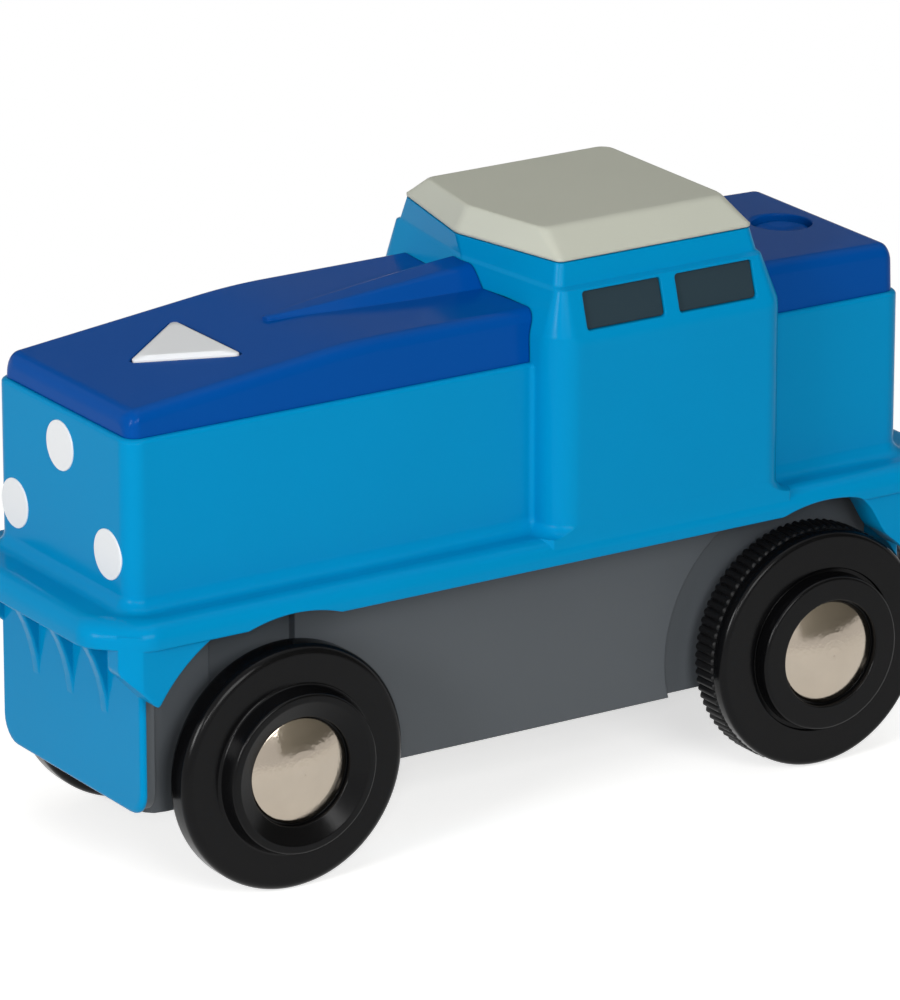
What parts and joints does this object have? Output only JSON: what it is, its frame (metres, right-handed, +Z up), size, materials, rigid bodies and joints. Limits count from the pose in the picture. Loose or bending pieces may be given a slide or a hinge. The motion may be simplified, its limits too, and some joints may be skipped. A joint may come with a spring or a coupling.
{
  "type": "toy train locomotive",
  "caption": "Battery powered toy train engine for wooden track: blue hoods, grey cab roof, black wheels with metal caps, push buttons on the hoods and a magnetic coupling behind.",
  "frame": {"origin": "on the track plane under the wheels, midway along and across the bounding box", "axes": "+X towards the sloping nose, +Y towards the left side, +Z up"},
  "size_m": [0.1024, 0.0348, 0.0567],
  "materials": {
    "light_blue": "glossy moulded plastic",
    "dark_blue": "glossy moulded plastic",
    "roof_grey": "glossy moulded plastic",
    "window_grey": "smooth moulded plastic",
    "chassis_grey": "satin moulded plastic",
    "wheel_black": "glossy moulded plastic",
    "tyre_rubber": "ribbed soft rubber",
    "nickel": "polished nickel plate",
    "steel": "bright zinc plate",
    "brass": "machined",
    "button_white": "glossy moulded plastic",
    "nylon": "natural moulded plastic",
    "board_green": "solder mask",
    "switch_black": "moulded plastic",
    "cell_jacket": "printed foil jacket, left plain",
    "wire_red": "wire insulation",
    "wire_black": "wire insulation",
    "wire_yellow": "wire insulation"
  },
  "bodies": {
    "loco_body": {"body_shell": "light_blue", "front_hood_cover": "dark_blue", "rear_hood_cover": "dark_blue", "cab_roof": "roof_grey", "left_window_insert": "window_grey", "right_window_insert": "window_grey", "chassis": "chassis_grey", "gearbox_cover": "chassis_grey", "gearbox_screw_rear": "steel", "gearbox_screw_front": "steel", "body_screw": "steel", "coupler_pin": "steel", "battery_cell": "cell_jacket", "battery_positive_contact": "steel", "battery_negative_contact": "steel", "battery_contact_spring": "steel", "idler_pin": "steel", "gear_frame": "nylon", "motor_can": "steel", "motor_end_cap": "switch_black", "left_axle_bush": "brass", "right_axle_bush": "brass", "forward_switch": "switch_black", "control_board": "board_green", "board_screw_left": "steel", "board_screw_right": "steel", "board_screw_rear": "steel", "stop_switch": "switch_black", "stop_switch_board": "board_green", "battery_positive_lead": "wire_red", "battery_negative_lead": "wire_black", "motor_lead_red": "wire_red", "motor_lead_black": "wire_black", "stop_switch_lead": "wire_yellow"},
    "battery_door": {"battery_door": "chassis_grey", "battery_door_screw": "steel"},
    "front_wheelset": {"front_axle": "steel", "left_front_wheel": "wheel_black", "left_front_hub_cap": "nickel", "right_front_wheel": "wheel_black", "right_front_hub_cap": "nickel"},
    "rear_wheelset": {"rear_axle": "steel", "left_rear_wheel": "wheel_black", "left_rear_hub_cap": "nickel", "left_traction_tyre": "tyre_rubber", "right_rear_wheel": "wheel_black", "right_rear_hub_cap": "nickel", "right_traction_tyre": "tyre_rubber", "axle_gear": "nylon"},
    "idler": {"idler_gear": "nylon"},
    "motor_rotor": {"motor_shaft": "steel", "motor_pinion": "brass"},
    "forward_button": {"forward_button": "button_white", "forward_switch_plunger": "switch_black"},
    "stop_button": {"stop_button": "dark_blue", "stop_switch_plunger": "switch_black"},
    "coupler": {"coupler_arm": "chassis_grey", "magnet_rivet": "steel"},
    "coupler_magnet": {"coupler_magnet": "nickel"}
  },
  "joints": [
    {"name": "front_axle_turn", "type": "hinge", "parent": "loco_body", "child": "front_wheelset", "pos_m": [0.0314, 0, 0.01174], "axis": [0, 1, 0], "continuous": true},
    {"name": "rear_axle_turn", "type": "hinge", "parent": "loco_body", "child": "rear_wheelset", "pos_m": [-0.0275, 0, 0.01174], "axis": [0, 1, 0], "continuous": true},
    {"name": "idler_turn", "type": "hinge", "parent": "loco_body", "child": "idler", "pos_m": [-0.0275, 0, 0.01974], "axis": [0, 1, 0], "continuous": true},
    {"name": "motor_turn", "type": "hinge", "parent": "loco_body", "child": "motor_rotor", "pos_m": [-0.0275, 0, 0.02724], "axis": [0, 1, 0], "continuous": true},
    {"name": "forward_button_press", "type": "slide", "parent": "loco_body", "child": "forward_button", "axis": [-0.108, 0, -0.9942], "range_m": [0, 0.0006], "stiffness_N_per_m": 1500},
    {"name": "stop_button_press", "type": "slide", "parent": "loco_body", "child": "stop_button", "axis": [0, 0, -1], "range_m": [0, 0.0006], "stiffness_N_per_m": 1500},
    {"name": "battery_door_off", "type": "slide", "parent": "loco_body", "child": "battery_door", "axis": [0, 0, -1], "range_m": [0, 0.0072]},
    {"name": "coupler_swing", "type": "hinge", "parent": "loco_body", "child": "coupler", "pos_m": [-0.04, 0, 0.01265], "axis": [0, 0, 1], "range_deg": [-20, 20]},
    {"name": "magnet_turn", "type": "hinge", "parent": "coupler", "child": "coupler_magnet", "pos_m": [-0.04935, 0, 0.01265], "axis": [1, 0, 0], "continuous": true}
  ],
  "couplings": [
    {"joint": "idler_turn", "follows": "rear_axle_turn", "ratio": -2.2},
    {"joint": "motor_turn", "follows": "rear_axle_turn", "ratio": 6.05}
  ]
}
